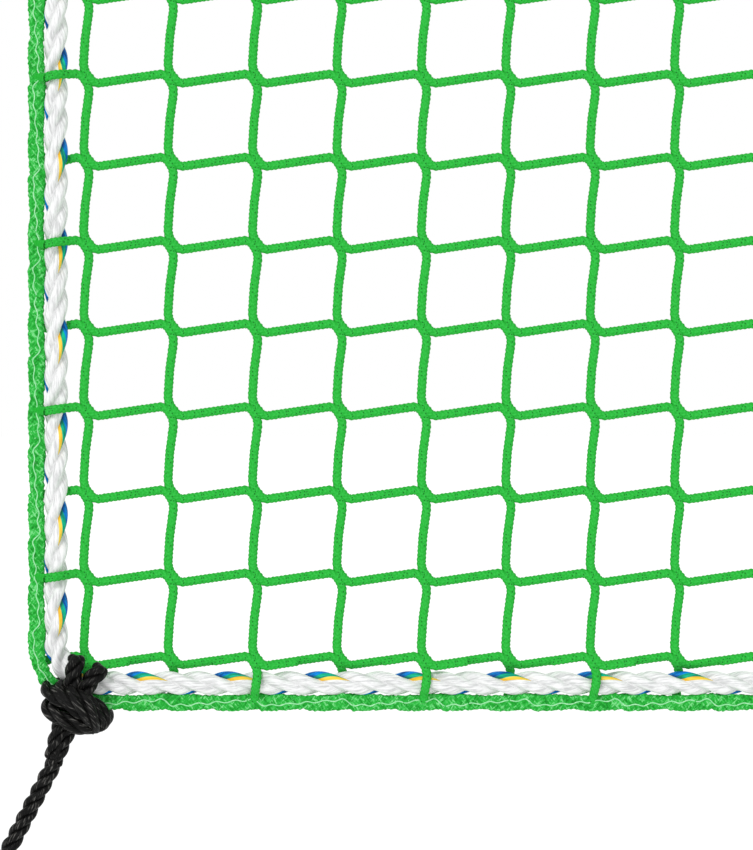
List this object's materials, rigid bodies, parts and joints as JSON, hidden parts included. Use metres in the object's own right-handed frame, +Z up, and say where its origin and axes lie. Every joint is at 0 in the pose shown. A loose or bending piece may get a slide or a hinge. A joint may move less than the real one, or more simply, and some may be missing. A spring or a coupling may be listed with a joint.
{
  "type": "tennis net",
  "caption": "Doubles tennis net: square-mesh netting with a laid border rope, canvas headband on a steel cable with end eyes, and corner tie cords with loops.",
  "frame": {"origin": "on the steel cable's axis at mid-length", "axes": "+X along the net, +Z up, -Y towards the front"},
  "size_m": [13.05, 0.0381, 1.2211],
  "materials": {
    "netting_cord": "matte",
    "selvedge": "matte",
    "border_rope": "matte",
    "tie_cord": "matte",
    "headband_canvas": "matte",
    "end_patch_vinyl": "satin",
    "eyelet_brass": "satin",
    "cable_coating": "satin",
    "ferrule_aluminium": "satin",
    "thimble_steel": "satin"
  },
  "bodies": {
    "cable": {"steel_cable": "cable_coating", "cable_eye_left": "cable_coating", "cable_eye_right": "cable_coating", "thimble_left": "thimble_steel", "thimble_right": "thimble_steel", "ferrule_left": "ferrule_aluminium", "ferrule_right": "ferrule_aluminium"},
    "net": {"headband": "headband_canvas", "headband_end_left": "end_patch_vinyl", "headband_end_right": "end_patch_vinyl", "eyelet_left": "eyelet_brass", "eyelet_right": "eyelet_brass", "netting": "netting_cord", "border_rope_left": "border_rope", "border_rope_bottom": "border_rope", "border_rope_right": "border_rope", "selvedge_left": "selvedge", "selvedge_bottom": "selvedge", "selvedge_right": "selvedge", "tie_knot_left": "tie_cord", "tie_knot_right": "tie_cord"},
    "left_tie": {"tie_tail_left": "tie_cord", "tie_loop_left": "tie_cord"},
    "right_tie": {"tie_tail_right": "tie_cord", "tie_loop_right": "tie_cord"}
  },
  "joints": [
    {"name": "net_swing", "type": "hinge", "parent": "cable", "child": "net", "pos_m": [0, 0, 0], "axis": [1, 0, 0], "range_deg": [-20, 20]},
    {"name": "left_tie_swing", "type": "hinge", "parent": "net", "child": "left_tie", "pos_m": [-6.3881, 0, -1.0965], "axis": [0, 1, 0], "range_deg": [-75, 75]},
    {"name": "right_tie_swing", "type": "hinge", "parent": "net", "child": "right_tie", "pos_m": [6.3881, 0, -1.0965], "axis": [0, 1, 0], "range_deg": [-75, 75]}
  ]
}
